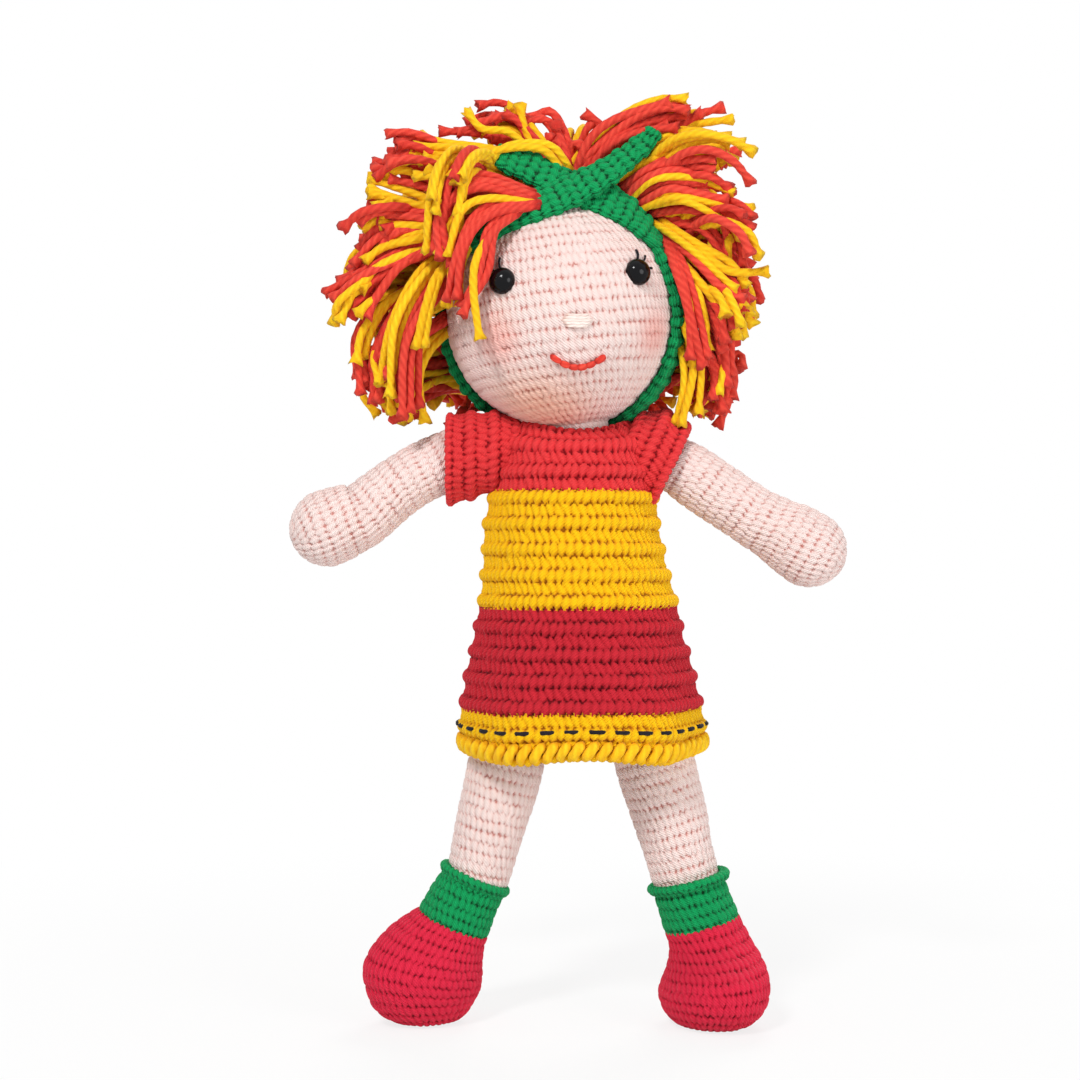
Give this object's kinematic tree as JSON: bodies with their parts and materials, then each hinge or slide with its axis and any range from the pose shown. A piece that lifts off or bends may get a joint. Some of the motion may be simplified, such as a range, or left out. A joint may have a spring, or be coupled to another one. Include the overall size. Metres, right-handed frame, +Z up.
{
  "type": "crocheted yarn doll",
  "caption": "Standing crocheted doll in a banded dress and boots, with a mop of cut yarn hair held back by a knotted headband; its head turns and its arms and legs move.",
  "frame": {"origin": "on the floor under the middle of the doll's bounding box", "axes": "+Z up along the standing doll, the face towards -Y, the viewer's right towards +X"},
  "size_m": [0.194, 0.1048, 0.3211],
  "materials": {
    "skin yarn": "matte, loosely plied cotton yarn in a single crochet stitch",
    "stuffing": "loose fibre filling",
    "coral yarn": "matte plied cotton yarn",
    "golden yarn": "matte plied cotton yarn in a single crochet stitch",
    "crimson yarn": "matte plied cotton yarn in a single crochet stitch",
    "green yarn": "matte plied cotton yarn in a single crochet stitch",
    "amber yarn": "matte plied cotton yarn",
    "black bead": "polished",
    "white plastic": "moulded"
  },
  "bodies": {
    "torso": {"dress_bodice": "golden yarn", "dress_hem": "golden yarn", "dress_skirt": "crimson yarn", "dress_yoke": "coral yarn", "torso_cover": "skin yarn", "torso_stuffing": "stuffing"},
    "head": {"eye_left": "black bead", "eye_left_washer": "white plastic", "eye_right": "black bead", "eye_right_washer": "white plastic", "hair_lock_01": "coral yarn", "hair_lock_02": "coral yarn", "hair_lock_03": "amber yarn", "hair_lock_04": "coral yarn", "hair_lock_05": "coral yarn", "hair_lock_06": "amber yarn", "hair_lock_07": "coral yarn", "hair_lock_08": "coral yarn", "hair_lock_09": "amber yarn", "hair_lock_10": "coral yarn", "hair_lock_11": "coral yarn", "hair_lock_12": "amber yarn", "hair_lock_13": "coral yarn", "hair_lock_14": "coral yarn", "hair_lock_15": "amber yarn", "hair_lock_16": "coral yarn", "hair_lock_17": "coral yarn", "hair_lock_18": "amber yarn", "hair_lock_19": "coral yarn", "hair_lock_20": "coral yarn", "hair_lock_21": "amber yarn", "hair_lock_22": "coral yarn", "hair_lock_23": "coral yarn", "hair_lock_24": "amber yarn", "head_cover": "skin yarn", "head_stuffing": "stuffing", "headband": "green yarn", "mouth": "coral yarn", "nose": "skin yarn"},
    "arm_left": {"arm_left_cover": "skin yarn", "arm_left_stuffing": "stuffing", "sleeve_left": "coral yarn"},
    "arm_right": {"arm_right_cover": "skin yarn", "arm_right_stuffing": "stuffing", "sleeve_right": "coral yarn"},
    "leg_left": {"ankle_left_stuffing": "stuffing", "boot_left_cuff": "green yarn", "boot_left_foot": "crimson yarn", "boot_left_shaft": "green yarn", "boot_left_stuffing": "stuffing", "leg_left_cover": "skin yarn", "leg_left_stuffing": "stuffing"},
    "leg_right": {"ankle_right_stuffing": "stuffing", "boot_right_cuff": "green yarn", "boot_right_foot": "crimson yarn", "boot_right_shaft": "green yarn", "boot_right_stuffing": "stuffing", "leg_right_cover": "skin yarn", "leg_right_stuffing": "stuffing"}
  },
  "joints": [
    {"name": "head_turn", "type": "hinge", "parent": "torso", "child": "head", "pos_m": [-0.0021, -0.0105, 0.2466], "axis": [-0.1172, 0, 0.9931], "range_deg": [-30, 30]},
    {"name": "arm_left_raise", "type": "hinge", "parent": "torso", "child": "arm_left", "pos_m": [-0.0263, -0.0105, 0.1998], "axis": [0, 1, 0], "range_deg": [-18, 10]},
    {"name": "arm_right_raise", "type": "hinge", "parent": "torso", "child": "arm_right", "pos_m": [0.031, -0.0105, 0.199], "axis": [0, -1, 0], "range_deg": [-18, 10]},
    {"name": "leg_left_swing", "type": "hinge", "parent": "torso", "child": "leg_left", "pos_m": [-0.0146, -0.0105, 0.117], "axis": [-1, 0, 0], "range_deg": [-13, 13]},
    {"name": "leg_right_swing", "type": "hinge", "parent": "torso", "child": "leg_right", "pos_m": [0.0233, -0.0105, 0.117], "axis": [-1, 0, 0], "range_deg": [-13, 13]}
  ]
}
